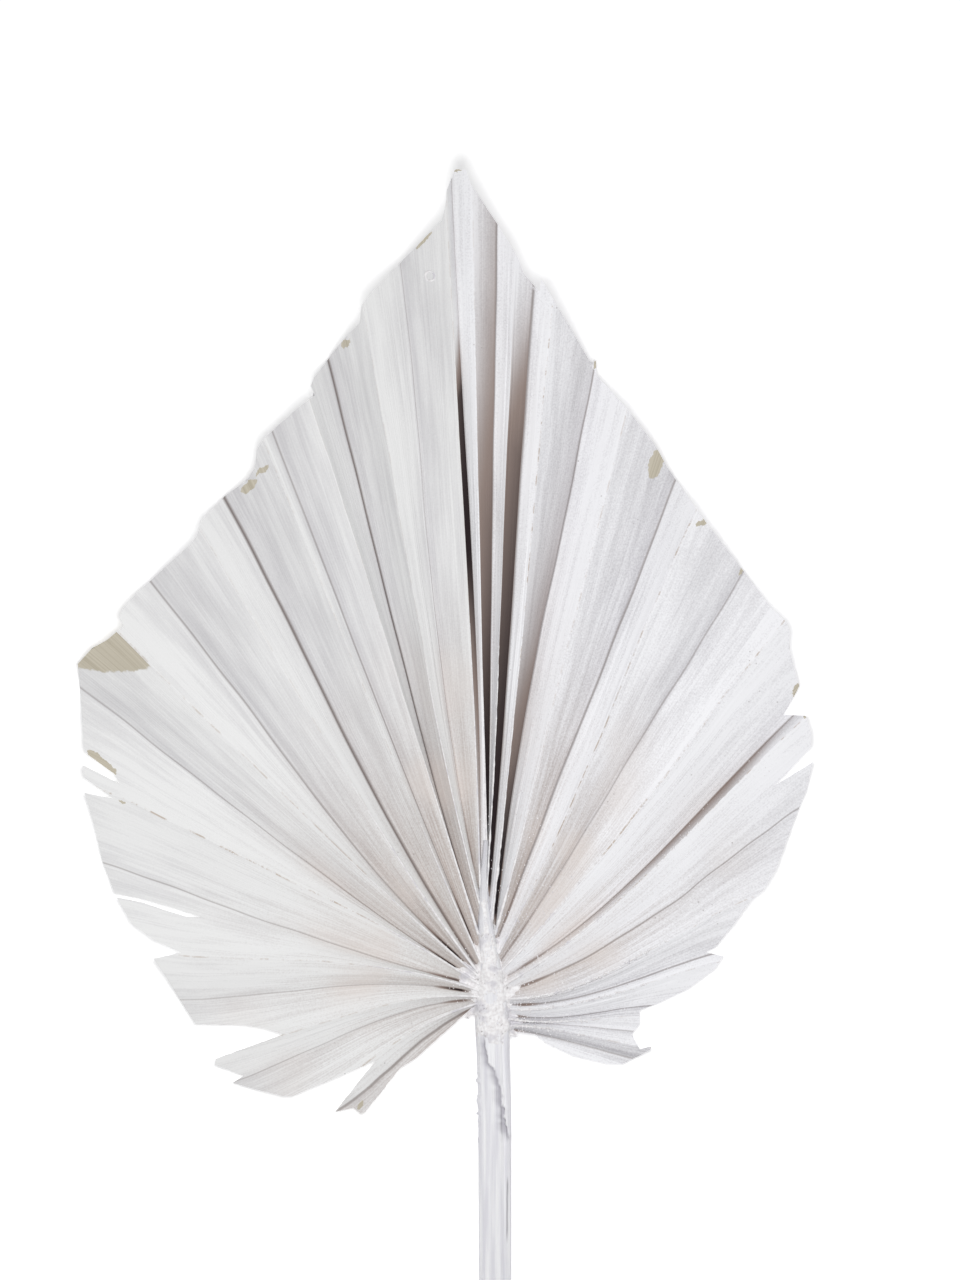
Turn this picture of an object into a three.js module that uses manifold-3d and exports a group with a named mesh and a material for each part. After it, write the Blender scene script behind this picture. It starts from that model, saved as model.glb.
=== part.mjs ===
// Dried palm spear lying face up: a pleated fan blade, the hub where its pleats meet, and its stalk.
// Millimetres, +Z up, the tip towards +Y and the stalk towards -Y.
import * as THREE from "three";
import { mergeVertices } from "three/addons/utils/BufferGeometryUtils.js";
import Module from "manifold-3d";

const wasm = await Module();
wasm.setup();

// Driving dimensions
const UNIT = 0.22;
const BLADE_THICKNESS = 0.66;
const ROOT_HEIGHT = 4.3;
const ROOT_PLEAT = 0.6;
const OVERSIZE = 1.08;
const ROWS = 9;
const STALK_END = -268;
const STALK_WIDTH = 7.2;
const STALK_HEIGHT = 4.8;
const REST_FLAT = 32;

// Fold lines from the lower left lobe over the tip to the lower right lobe.
// Each row: angle at the margin in degrees clockwise from the tip, reach, root x, root y and sideways bow
// in drawing units of UNIT mm, then the height of the face at the margin in mm.
const FOLDS = [
  [-138.4, 190, -4, -24, -6, 2.6],
  [-130.5, 190, -7, -20.5, -7, 1.7],
  [-123, 215, -8, -18, -8, 3.2],
  [-111, 275, -9, -15, -12, 1.6],
  [-104, 260, -9, -12, -11, 3.4],
  [-93, 310, -9, -9, -11, 1.6],
  [-84.2, 322, -9, -6, -11, 4.4],
  [-72.8, 403, -9, -1, 5, 1.6],
  [-63.3, 440, -9, 0.5, -8, 4.8],
  [-54.2, 500, -9, 1.5, 5, 0.7],
  [-46.3, 512, -9, 8, 4, 7],
  [-40, 528, -9, 9, 13, 3.2],
  [-32.3, 540, -9.5, 12, 7, 8.5],
  [-28.5, 548, -9.5, 15, 8, 2.8],
  [-22.4, 575, -6, 20, 2.5, 10],
  [-21.3, 585, -6, 21.5, 2, 8.5],
  [-16.8, 613, -9.5, 50, 0, 11],
  [-14.4, 648, -9.5, 52, 5, 2.4],
  [-10.4, 685, -8.4, 80, 7, 12.5],
  [-7, 727, -8, 90, 9.5, 6.5],
  [-3, 775, -8, 97, -2.5, 13.5],
  [-2.6, 790, -7.4, 98.5, -5.5, 12.2],
  [-1.15, 805, -1.5, 136, 0, 14.5],
  [0.6, 772, 0.6, 140, 0, 11.6],
  [2.1, 722, -1.2, 90, -1.5, 13.5],
  [3.7, 697, 1.6, 88, -2, 11],
  [5.4, 682, 3.8, 62, -2, 12.5],
  [9.7, 636, 7.8, 59, 7, 2.8],
  [13.5, 592, 7, 50, -2, 8.5],
  [20.4, 540, 7.5, 40, 0, 3.2],
  [23.6, 512, 10, 31, -6, 8.5],
  [31.6, 490, 12, 22, -4, 3.2],
  [39.3, 466, 13.5, 14, -5, 6.5],
  [48.7, 428, 15, 6, -14, 0.8],
  [49.9, 418, 16, 0, -13, 4.6],
  [61, 352, 17, -7, -14, 1.6],
  [71.5, 282, 18, -14, -16, 4.4],
  [82, 240, 19, -20, -10, 1.7],
  [84.6, 232, 19.5, -25, -9, 3],
  [97, 172, 20, -30, -6, 1.7],
  [101.5, 160, 20, -34, -4, 2.8],
  [107.5, 158, 20, -37, 1, 2],
  [112, 165, 20, -41, 3, 3.2],
  [117, 165, 19.5, -44.5, 2, 1.7],
  [128, 165, 18, -49, 0, 2.2],
];

// Trimmed margin in drawing units from the hub: lobes and tears at the left, the stepped left edge, the tip,
// the right edge and the lobes at the lower right.
const MARGIN = [
  [-14, -21], [-71, -73], [-88, -84], [-123, -128], [-127, -130], [-135, -124], [-153, -128], [-130, -98],
  [-112, -76], [-150, -93], [-196, -112], [-205, -112], [-235, -105], [-256, -99], [-245, -92], [-282, -78],
  [-238, -62], [-205, -50], [-225, -44], [-245, -41], [-293, -40], [-308, -17], [-323, 8], [-335, 26],
  [-307, 32], [-334, 44], [-356, 60],
  [-372, 87], [-346, 82], [-326, 75], [-303, 68], [-286, 67], [-311, 75], [-346, 85], [-374, 91],
  [-386, 122], [-396, 165],
  [-404, 192], [-375, 186], [-404, 207], [-406, 220], [-369, 201], [-374, 211], [-403, 232], [-405, 239],
  [-408, 281], [-411, 321], [-396, 337], [-381, 345], [-364, 359], [-369, 367], [-365, 377], [-351, 393],
  [-315, 425], [-297, 441], [-291, 449], [-286, 465], [-264, 489], [-241, 505], [-233, 517], [-231, 535],
  [-223, 547], [-189, 577], [-173, 589], [-177, 599], [-174, 607], [-157, 631], [-141, 649], [-128, 661],
  [-126, 679], [-111, 697], [-83, 727], [-46, 763], [-42, 781], [-41, 793], [-33, 814], [-22, 813],
  [-17, 798], [9, 760], [30, 726], [36, 710], [51, 692], [53, 705], [67, 681], [89, 645],
  [103, 622], [108, 625], [109, 610], [142, 572], [167, 540], [180, 517], [192, 500], [212, 470],
  [256, 414], [281, 380], [298, 363], [302, 353], [301, 337], [312, 299], [306, 287], [296, 270],
  [318, 269], [324, 251], [324, 238], [286, 198], [326, 223], [319, 193], [305, 159], [288, 114],
  [276, 95], [262, 83], [247, 61], [228, 37], [218, 32], [236, 28], [227, 15], [200, -5],
  [169, -20], [152, -26], [152, -40], [144, -50], [152, -65], [172, -60], [153, -71], [135, -80],
  [119, -80], [85, -72], [60, -60], [47, -50], [30, -48],
];

// Stalk, hub and midrib from the cut end upwards: y, middle x, width, height, underside, depth of the groove.
const STALK = [
  [STALK_END, 1.5, STALK_WIDTH, STALK_HEIGHT, 0, 0.12],
  [STALK_END + REST_FLAT, 1.5, STALK_WIDTH, STALK_HEIGHT, 0, 0.12],
  [-190, 1.6, STALK_WIDTH - 0.3, STALK_HEIGHT, 0.9, 0.1],
  [-130, 1.7, STALK_WIDTH - 0.4, STALK_HEIGHT, 1.7, 0.12],
  [-70, 1.6, STALK_WIDTH - 0.2, STALK_HEIGHT, 1.9, 0.1],
  [-30, 1.5, STALK_WIDTH, STALK_HEIGHT + 0.2, 1.7, 0.16],
  [-22, 1.4, STALK_WIDTH, STALK_HEIGHT + 0.2, 1.6, 0.12],
  [-14, 1.1, STALK_WIDTH + 0.1, STALK_HEIGHT + 0.2, 1.4, 0.1],
  [-9, 1, 7.7, 4.9, 1.3, 0.06],
  [-3, 0.7, 6.8, 4.7, 1.3, 0.04],
  [3, 0.6, 5, 4.5, 1.4, 0.04],
  [8, 0, 4.2, 4.2, 1.6, 0.04],
  [13, -0.5, 3.6, 4, 1.8, 0.04],
  [18, -0.9, 2.4, 3.8, 2, 0.04],
  [24, -1, 1.6, 3.6, 2.2, 0.04],
  [32, -0.5, 1.1, 3.4, 2.4, 0.04],
];

// Section of the stalk, half width and height taken as one: flat below, a groove at the right of the top.
const SECTION = [
  [-0.36, 0], [0.36, 0], [0.8, 0.2], [1, 0.5], [0.9, 0.78], [0.76, 0.88], [0.56, 0.93], [0.36, 0.97],
  [-0.3, 1], [-0.8, 0.84], [-1, 0.5], [-0.8, 0.18],
];
const GROOVE = 6;

// A geometry as a closed body for joining and cutting
function bodyOf(geometry) {
  const bare = new THREE.BufferGeometry();
  bare.setAttribute("position", geometry.getAttribute("position"));
  bare.setIndex(geometry.index);
  const merged = mergeVertices(bare, 1e-4);
  const mesh = new wasm.Mesh({
    numProp: 3,
    vertProperties: merged.getAttribute("position").array,
    triVerts: new Uint32Array(merged.index.array),
  });
  return new wasm.Manifold(mesh);
}

function geometryOf(points, triangles) {
  const geometry = new THREE.BufferGeometry().setFromPoints(points);
  geometry.setIndex(triangles);
  return geometry;
}

// Point on a fold line: t is 0 at the hub and 1 at the margin
function foldPoint(row, t, isRidge) {
  const [angle, reach, rootX, rootY, bow, height] = row;
  const turn = THREE.MathUtils.degToRad(angle);
  const across = reach * Math.sin(turn) - rootX;
  const along = reach * Math.cos(turn) - rootY;
  const length = Math.hypot(across, along);
  const side = 6.75 * bow * t * (1 - t) ** 2;
  const x = rootX + across * t - (along / length) * side;
  const y = rootY + along * t + (across / length) * side;
  const start = ROOT_HEIGHT + (isRidge ? ROOT_PLEAT : -ROOT_PLEAT);
  const z = start + (height - start) * t * (1.6 - 0.6 * t);
  return new THREE.Vector3(x * UNIT, y * UNIT, z);
}

// Upper face of the blade, one column of points for each fold
const columns = FOLDS.map((row, i) => {
  const before = FOLDS[Math.max(i - 1, 0)][5];
  const after = FOLDS[Math.min(i + 1, FOLDS.length - 1)][5];
  const isRidge = row[5] >= (before + after) / 2;
  const column = [];
  for (let k = 0; k < ROWS; k++) column.push(foldPoint(row, (OVERSIZE * k) / (ROWS - 1), isRidge));
  return column;
});

// Mean direction of a strip between two neighbouring folds at one row
function stripNormal(i, k) {
  const low = Math.max(k - 1, 0);
  const high = Math.min(k + 1, ROWS - 1);
  const left = columns[i];
  const right = columns[i + 1];
  const outward = new THREE.Vector3().subVectors(left[high], left[low]).add(right[high]).sub(right[low]);
  const sideways = new THREE.Vector3().subVectors(right[k], left[k]);
  return sideways.cross(outward).normalize();
}

// Lower face: each fold point set back so that both strips beside it keep the blade's thickness
function setBack(i, k) {
  const first = stripNormal(Math.max(i - 1, 0), k);
  const second = stripNormal(Math.min(i, FOLDS.length - 2), k);
  const share = Math.max(1 + first.dot(second), 0.12);
  return first.add(second).multiplyScalar(-BLADE_THICKNESS / share);
}

// Pleated fan, cut larger than the leaf, as one closed sheet
function fanBody() {
  const points = [];
  for (const column of columns) points.push(...column);
  const upper = points.length;
  columns.forEach((column, i) => {
    column.forEach((point, k) => points.push(point.clone().add(setBack(i, k))));
  });
  const at = (i, k) => i * ROWS + k;
  const triangles = [];
  const quad = (a, b, c, d) => triangles.push(a, b, c, a, c, d);
  for (let i = 0; i < FOLDS.length - 1; i++) {
    for (let k = 0; k < ROWS - 1; k++) {
      const a = at(i, k);
      const b = at(i + 1, k);
      const c = at(i + 1, k + 1);
      const d = at(i, k + 1);
      quad(a, b, c, d);
      triangles.push(a + upper, c + upper, b + upper, a + upper, d + upper, c + upper);
    }
    quad(at(i + 1, 0), at(i, 0), at(i, 0) + upper, at(i + 1, 0) + upper);
    const top = ROWS - 1;
    quad(at(i, top), at(i + 1, top), at(i + 1, top) + upper, at(i, top) + upper);
  }
  const last = FOLDS.length - 1;
  for (let k = 0; k < ROWS - 1; k++) {
    quad(at(0, k), at(0, k + 1), at(0, k + 1) + upper, at(0, k) + upper);
    quad(at(last, k + 1), at(last, k), at(last, k) + upper, at(last, k + 1) + upper);
  }
  return bodyOf(geometryOf(points, triangles));
}

// Upright block with the outline of the trimmed leaf
function marginBody() {
  const shape = new THREE.Shape(MARGIN.map(([x, y]) => new THREE.Vector2(x * UNIT, y * UNIT)));
  const block = new THREE.ExtrudeGeometry(shape, { depth: 60, bevelEnabled: false });
  block.translate(0, 0, -20);
  return bodyOf(block);
}

// Stalk and midrib as one body swept through the sections
function stalkBody() {
  const count = SECTION.length;
  const points = [];
  for (const [y, middle, width, height, below, groove] of STALK) {
    SECTION.forEach(([across, up], k) => {
      const level = k === GROOVE ? up - groove : up;
      points.push(new THREE.Vector3(middle + (across * width) / 2, y, below + level * height));
    });
  }
  const triangles = [];
  for (let ring = 0; ring < STALK.length - 1; ring++) {
    for (let k = 0; k < count; k++) {
      const a = ring * count + k;
      const b = ring * count + ((k + 1) % count);
      triangles.push(a, b + count, b, a, a + count, b + count);
    }
  }
  const caps = THREE.ShapeUtils.triangulateShape(SECTION.map(([x, z]) => new THREE.Vector2(x, z)), []);
  const end = (STALK.length - 1) * count;
  for (const [a, b, c] of caps) {
    triangles.push(a, b, c);
    triangles.push(end + a, end + c, end + b);
  }
  return bodyOf(geometryOf(points, triangles));
}

// Blade trimmed to its margin, then grown together with the stalk
const leaf = fanBody().intersect(marginBody()).add(stalkBody());
const solid = leaf.getMesh();
const geometry = new THREE.BufferGeometry();
geometry.setAttribute("position", new THREE.BufferAttribute(new Float32Array(solid.vertProperties), 3));
geometry.setIndex(new THREE.BufferAttribute(new Uint32Array(solid.triVerts), 1));

// Origin below the middle of the bounding box
geometry.computeBoundingBox();
const box = geometry.boundingBox;
geometry.translate(-(box.min.x + box.max.x) / 2, -(box.min.y + box.max.y) / 2, -box.min.z);
geometry.computeVertexNormals();

const paint = new THREE.MeshStandardMaterial({ color: 0xe9e6e2, roughness: 0.85, metalness: 0 });
const palmSpear = new THREE.Mesh(geometry, paint);
palmSpear.name = "palm_spear";

const part = new THREE.Group();
part.name = "palm_spear_part";
part.add(palmSpear);

export default part;
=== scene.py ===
# %% [markdown]
# # Dried palm spear
# One leaf of a fan palm, trimmed to a spear, dried, painted matte white and laid face up on a pale floor.
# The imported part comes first. It is the fixed frame: every piece below is made in its metres and its axes,
# so nothing has to be fitted afterwards.

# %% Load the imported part
import math

import bmesh
import bpy
import numpy as np
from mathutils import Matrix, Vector, noise
from mathutils.bvhtree import BVHTree
from mathutils.interpolate import poly_3d_calc


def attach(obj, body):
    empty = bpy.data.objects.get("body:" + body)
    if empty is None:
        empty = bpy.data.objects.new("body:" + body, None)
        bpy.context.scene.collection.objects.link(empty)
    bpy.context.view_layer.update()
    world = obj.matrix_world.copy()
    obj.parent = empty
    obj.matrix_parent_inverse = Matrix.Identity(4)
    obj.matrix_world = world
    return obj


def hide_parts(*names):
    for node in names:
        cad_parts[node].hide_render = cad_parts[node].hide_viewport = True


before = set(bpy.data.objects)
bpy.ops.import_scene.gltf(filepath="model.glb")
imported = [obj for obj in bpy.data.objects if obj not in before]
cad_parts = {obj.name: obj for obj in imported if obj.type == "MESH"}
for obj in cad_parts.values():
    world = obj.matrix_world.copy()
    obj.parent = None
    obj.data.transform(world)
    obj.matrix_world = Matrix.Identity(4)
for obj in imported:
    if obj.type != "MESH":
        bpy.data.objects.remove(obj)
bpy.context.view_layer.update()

print("packed nodes:", sorted(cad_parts))

# %% [markdown]
# The leaf is drawn in units of 0.22 mm from its hub, x to the right and y towards the tip, as in the part's
# own source. Shapes are worked out in millimetres, because leaf thicknesses are easy to read that way. They
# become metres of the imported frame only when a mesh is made.

# %% Scale and place of the drawing
MM = 0.001
UNIT = 0.22
HUB = np.array([9.35, 44.46, 0.0])
HUB_PIXEL = (488, 985)


def in_frame(points):
    return (np.asarray(points, float) + HUB) * MM


def pixel_place(x, y):
    return np.array([(x - HUB_PIXEL[0]) * UNIT, (HUB_PIXEL[1] - y) * UNIT, 0.0]) + HUB


def add_object(name, data):
    thing = bpy.data.objects.new(name, data)
    bpy.context.scene.collection.objects.link(thing)
    return thing


def add_piece(name, points, faces):
    mesh = bpy.data.meshes.new(name)
    mesh.from_pydata(in_frame(points).tolist(), [], [list(map(int, face)) for face in faces])
    mesh.update()
    return add_object(name, mesh)


print("hub in the packed frame, mm:", HUB.tolist())

# %% [markdown]
# A fan palm leaf is one sheet folded like a paper fan. Each fold runs from the hub to the margin, and
# ridges and valleys take turns. One row holds one fold: its angle at the margin in degrees clockwise from
# the tip, its reach, the x and y of its root and its sideways bow in drawing units, and the height of the
# face at the margin in mm. Three values for the paint follow: how strongly the crease is marked, as tan
# wear on a ridge or a line of painted shade in a valley, how much painted shadow lies in a valley close to
# the hub, and how thin the paint is on the strip clockwise of the fold, a grey that is partly painted shade.

# %% Folds of the fan
FOLDS = np.array([
    [-138.4, 190, -4, -24, -6, 2.6, 0.5, 0, 0.5],
    [-130.5, 190, -7, -20.5, -7, 1.7, 0.8, 0.5, 0.05],
    [-123, 215, -8, -18, -8, 3.2, 0.7, 0, 0.25],
    [-111, 275, -9, -15, -12, 1.6, 0.5, 0.6, 0],
    [-104, 260, -9, -12, -11, 3.4, 0.45, 0, 0.15],
    [-93, 310, -9, -9, -11, 1.6, 0.45, 1, 0],
    [-84.2, 322, -9, -6, -11, 4.4, 0.55, 0, 0.05],
    [-72.8, 403, -9, -1, 5, 1.6, 0.55, 0.75, 0.02],
    [-63.3, 440, -9, 0.5, -8, 4.8, 0.95, 0, 0.05],
    [-54.2, 500, -9, 1.5, 5, 0.7, 0.5, 1, 0.2],
    [-46.3, 512, -9, 8, 4, 7, 0.55, 0, 0.1],
    [-40, 528, -9, 9, 13, 3.2, 0.6, 1, 0.35],
    [-32.3, 540, -9.5, 12, 7, 8.5, 0.2, 0, 0],
    [-28.5, 548, -9.5, 15, 8, 2.8, 1, 0.3, 0.4],
    [-22.4, 575, -6, 20, 2.5, 10, 0.3, 0, 0.2],
    [-21.3, 585, -6, 21.5, 2, 8.5, 0.6, 1, 0.4],
    [-16.8, 613, -9.5, 50, 0, 11, 0.2, 0, 0],
    [-14.4, 648, -9.5, 52, 5, 2.4, 1, 1, 0.3],
    [-10.4, 685, -8.4, 80, 7, 12.5, 0.2, 0, 0],
    [-7, 727, -8, 90, 9.5, 6.5, 0.35, 0.4, 0.3],
    [-3, 775, -8, 97, -2.5, 13.5, 0.35, 0, 0.2],
    [-2.6, 790, -7.4, 98.5, -5.5, 12.2, 0.45, 0, 0],
    [-1.15, 805, -1.5, 136, 0, 14.5, 0.25, 0, 0.2],
    [0.6, 772, 0.6, 140, 0, 11.6, 0.9, 0, 0],
    [2.1, 722, -1.2, 90, -1.5, 13.5, 0.1, 0, 0.2],
    [3.7, 697, 1.6, 88, -2, 11, 0.9, 0, 0],
    [5.4, 682, 3.8, 62, -2, 12.5, 0.9, 0, 0.3],
    [9.7, 636, 7.8, 59, 7, 2.8, 0.8, 0.5, 0],
    [13.5, 592, 7, 50, -2, 8.5, 0.5, 0, 0.45],
    [20.4, 540, 7.5, 40, 0, 3.2, 0.8, 0.45, 0.05],
    [23.6, 512, 10, 31, -6, 8.5, 0.9, 0, 0.3],
    [31.6, 490, 12, 22, -4, 3.2, 0.55, 0.25, 0.2],
    [39.3, 466, 13.5, 14, -5, 6.5, 1, 0, 0.05],
    [48.7, 428, 15, 6, -14, 0.8, 0.6, 0.4, 0.2],
    [49.9, 418, 16, 0, -13, 4.6, 0.8, 0, 0.05],
    [61, 352, 17, -7, -14, 1.6, 0.65, 0.5, 0.3],
    [71.5, 282, 18, -14, -16, 4.4, 0.6, 0, 0.2],
    [82, 240, 19, -20, -10, 1.7, 0.7, 0.6, 0.1],
    [84.6, 232, 19.5, -25, -9, 3, 0.4, 0, 0],
    [97, 172, 20, -30, -6, 1.7, 0.5, 0.45, 0.6],
    [101.5, 160, 20, -34, -4, 2.8, 0.3, 0, 0],
    [107.5, 158, 20, -37, 1, 2, 0.4, 0.4, 0.2],
    [112, 165, 20, -41, 3, 3.2, 0.3, 0, 0.55],
    [117, 165, 19.5, -44.5, 2, 1.7, 0.6, 0.4, 0.1],
    [128, 165, 18, -49, 0, 2.2, 0.2, 0, 0],
])
FACETS = len(FOLDS) - 1
fold_height = FOLDS[:, 5]
neighbour_height = (np.r_[fold_height[0], fold_height[:-1]] + np.r_[fold_height[1:], fold_height[-1]]) / 2
is_ridge = fold_height >= neighbour_height
print("folds:", len(FOLDS), "ridges:", int(is_ridge.sum()))

# %% [markdown]
# Each fold is a curve: t is 0 at the hub and 1 at the margin. It could be drawn as a Blender curve, but
# then the sheet between two folds would be hard to control. Points worked out with numpy give the whole fan
# at once. A leaf never dries quite straight, so every fold also wanders a little, seeded and in proportion
# to the gap beside it, so that no two folds cross.

# %% Fold curves
OVERSIZE = 1.08
ROWS = 72
ROOT_HEIGHT = 4.3
ROOT_PLEAT = 0.6
SIDE_WANDER = 0.022
HEIGHT_WANDER = 0.3
ROW_CROWDING = 1.1
EARLY_RISE = 0.6
# Makes the bow the greatest distance aside, which lies a third of the way out
BOW_SHAPE = 6.75
# Gap in mm from which a strip has its full wander and veins
WIDE_GAP = 6
t = OVERSIZE * np.linspace(0, 1, ROWS) ** ROW_CROWDING


def wander(lines, seed, waves=(0.8, 1.7, 3.4, 6.1)):
    rng = np.random.default_rng(seed)
    total = np.zeros((lines, ROWS))
    for wave in waves:
        phase = rng.uniform(0, 2 * np.pi, (lines, 1))
        size = rng.uniform(0.3, 1, (lines, 1)) / wave**0.6
        total += size * np.sin(2 * np.pi * wave * t + phase)
    return total


angle, reach, root_x, root_y, bow, height = (column[:, None] for column in FOLDS.T[:6])
run_x = reach * np.sin(np.radians(angle)) - root_x
run_y = reach * np.cos(np.radians(angle)) - root_y
run = np.hypot(run_x, run_y)
side = BOW_SHAPE * bow * t * (1 - t) ** 2
start_height = ROOT_HEIGHT + np.where(is_ridge, ROOT_PLEAT, -ROOT_PLEAT)[:, None]
rise = t * (1 + EARLY_RISE - EARLY_RISE * t)
folds = np.stack([
    (root_x + run_x * t - run_y / run * side) * UNIT,
    (root_y + run_y * t + run_x / run * side) * UNIT,
    start_height + (height - start_height) * rise,
], axis=2)
gaps = np.hypot(*np.moveaxis(np.diff(folds, axis=0)[:, :, :2], 2, 0))
nearest_gap = np.minimum(np.r_[gaps[:1], gaps], np.r_[gaps, gaps[-1:]])
shift = SIDE_WANDER * nearest_gap * wander(len(FOLDS), 5)
folds[:, :, 0] -= run_y / run * shift
folds[:, :, 1] += run_x / run * shift
folds[:, :, 2] += HEIGHT_WANDER * t * np.minimum(1, nearest_gap / WIDE_GAP) * wander(len(FOLDS), 8)
print("widest gap between folds, mm:", round(float(gaps.max()), 1))

# %% [markdown]
# Between two folds lies one flat strip of leaf. A real strip is slightly hollow or full, has fine
# lengthwise veins, and carries a thin rib on its ridge. These are made as real height, with thirteen
# columns to a strip that stand closest together at the folds, so that the creases stay sharp.

# %% Upper face with veins and ribs
SHARES = np.array([0, 0.035, 0.09, 0.17, 0.26, 0.36, 0.46, 0.56, 0.66, 0.75, 0.84, 0.91, 0.965])
FULLNESS = (-0.018, 0.035)
VEIN_HEIGHT = 0.04
VEIN_FREE_SHARE = 0.12
RIB_HEIGHT = 0.16
RIB_GAP = 5
rng = np.random.default_rng(21)
left, right = folds[:-1], folds[1:]
width = np.linalg.norm(right - left, axis=2)
outward_run = np.gradient(left, axis=1) + np.gradient(right, axis=1)
facet_normal = np.cross(right - left, outward_run)
facet_normal /= np.linalg.norm(facet_normal, axis=2, keepdims=True)
fullness = rng.uniform(*FULLNESS, (FACETS, 1)) * width
vein_rows = wander(FACETS * len(SHARES), 33).reshape(FACETS, len(SHARES), ROWS)
vein_size = rng.normal(0, 1, (FACETS, len(SHARES), 1))
vein_reach = np.clip(np.minimum(SHARES, 1 - SHARES) / VEIN_FREE_SHARE, 0, 1)[None, :, None]
lift = 4 * (SHARES * (1 - SHARES))[None, :, None] * fullness[:, None, :]
vein_reach = vein_reach * np.minimum(1, width / WIDE_GAP)[:, None, :]
lift = lift + VEIN_HEIGHT * vein_reach * (vein_size + 0.5 * vein_rows)


def strips(edges):
    first, second = edges[:-1, None], edges[1:, None]
    share = SHARES[None, :, None, None]
    between = first * (1 - share) + second * share + facet_normal[:, None] * lift[..., None]
    return np.concatenate([between.reshape(-1, ROWS, 3), edges[-1:]])


rib = folds.copy()
rib[:, :, 2] += RIB_HEIGHT * is_ridge[:, None] * np.minimum(1, nearest_gap / RIB_GAP)
upper = strips(rib)
print("columns across the fan:", len(upper))

# %% [markdown]
# The lower face follows the upper one at the leaf's thickness. Offsetting every point along its own normal
# would tangle the sheet under sharp ridges, so only the folds are set back, each along the mean of its two
# strips by the depth that keeps both of them thick, and the strips are stretched between them again.

# %% Lower face
THICKNESS = 0.5
SHARPEST = 0.12
before_normal = np.concatenate([facet_normal[:1], facet_normal])
after_normal = np.concatenate([facet_normal, facet_normal[-1:]])
agreement = np.maximum(1 + (before_normal * after_normal).sum(2, keepdims=True), SHARPEST)
lower = strips(folds - THICKNESS * (before_normal + after_normal) / agreement)
print("lowest point of the untrimmed fan, mm:", round(float(lower[:, :, 2].min()), 2))

# %% [markdown]
# The two faces and the walls round them make one closed sheet, larger than the leaf. A closed solid
# matters, because the trimming below cuts it and only a solid has an inside to cut.

# %% Closed fan
def quads(a, b, c, d):
    return np.stack([a.ravel(), b.ravel(), c.ravel(), d.ravel()], axis=1)


def closed_sheet(top, bottom):
    top_index = np.arange(top.shape[0] * top.shape[1]).reshape(top.shape[:2])
    low_index = top_index + top_index.size
    faces = np.concatenate([
        quads(top_index[:-1, :-1], top_index[:-1, 1:], top_index[1:, 1:], top_index[1:, :-1]),
        quads(low_index[:-1, :-1], low_index[1:, :-1], low_index[1:, 1:], low_index[:-1, 1:]),
        quads(top_index[:-1, 0], top_index[1:, 0], low_index[1:, 0], low_index[:-1, 0]),
        quads(top_index[1:, -1], top_index[:-1, -1], low_index[:-1, -1], low_index[1:, -1]),
        quads(top_index[0, 1:], top_index[0, :-1], low_index[0, :-1], low_index[0, 1:]),
        quads(top_index[-1, :-1], top_index[-1, 1:], low_index[-1, 1:], low_index[-1, :-1]),
    ])
    return np.concatenate([top.reshape(-1, 3), bottom.reshape(-1, 3)]), faces


columns = len(upper)
fan_points, fan_faces = closed_sheet(upper, lower)
blade = add_piece("leaf_blade", fan_points, fan_faces)
print("fan faces:", len(fan_faces))

# %% [markdown]
# Scissors gave the leaf its spear shape, in short straight snips, and handling tore the lower lobes. The
# outline is the same list of corners that the part has, in drawing units. Cut leaf is never a
# ruled line, so each snip is divided and its points are moved a little to either side.

# %% Trimmed outline
MARGIN = np.array([
    [-14, -21], [-71, -73], [-88, -84], [-123, -128], [-127, -130], [-135, -124], [-153, -128],
    [-130, -98], [-112, -76], [-150, -93], [-196, -112], [-205, -112], [-235, -105], [-256, -99],
    [-245, -92], [-282, -78], [-238, -62], [-205, -50], [-225, -44], [-245, -41], [-293, -40],
    [-308, -17], [-323, 8], [-335, 26], [-307, 32], [-334, 44], [-356, 60], [-372, 87],
    [-346, 82], [-326, 75], [-303, 68], [-286, 67], [-311, 75], [-346, 85], [-374, 91],
    [-386, 122], [-396, 165], [-404, 192], [-375, 186], [-404, 207], [-406, 220], [-369, 201],
    [-374, 211], [-403, 232], [-405, 239], [-408, 281], [-411, 321], [-396, 337], [-381, 345],
    [-364, 359], [-369, 367], [-365, 377], [-351, 393], [-315, 425], [-297, 441], [-291, 449],
    [-286, 465], [-264, 489], [-241, 505], [-233, 517], [-231, 535], [-223, 547], [-189, 577],
    [-173, 589], [-177, 599], [-174, 607], [-157, 631], [-141, 649], [-128, 661], [-126, 679],
    [-111, 697], [-83, 727], [-46, 763], [-42, 781], [-41, 793], [-33, 814], [-22, 813],
    [-17, 798], [9, 760], [30, 726], [36, 710], [51, 692], [53, 705], [67, 681],
    [89, 645], [103, 622], [108, 625], [109, 610], [142, 572], [167, 540], [180, 517],
    [192, 500], [212, 470], [256, 414], [281, 380], [298, 363], [302, 353], [301, 337],
    [312, 299], [306, 287], [296, 270], [318, 269], [324, 251], [324, 238], [286, 198],
    [326, 223], [319, 193], [305, 159], [288, 114], [276, 95], [262, 83], [247, 61],
    [228, 37], [218, 32], [236, 28], [227, 15], [200, -5], [169, -20], [152, -26],
    [152, -40], [144, -50], [152, -65], [172, -60], [153, -71], [135, -80], [119, -80],
    [85, -72], [60, -60], [47, -50], [30, -48],
])
SNIP_STEP = 0.9
RAGGED = 0.11
RAGGED_RISE = 0.016


def ragged_outline():
    rng = np.random.default_rng(14)
    outline = []
    corners = MARGIN * UNIT
    for start, end in zip(corners, np.roll(corners, -1, axis=0)):
        snip = end - start
        length = np.hypot(*snip)
        aside = np.array([-snip[1], snip[0]]) / length
        count = max(1, round(length / SNIP_STEP))
        for k in range(count):
            place = k / count
            most = min(RAGGED, RAGGED_RISE * length * min(place, 1 - place))
            outline.append(start + snip * place + aside * most * rng.uniform(-1, 1))
    return np.array(outline)


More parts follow.
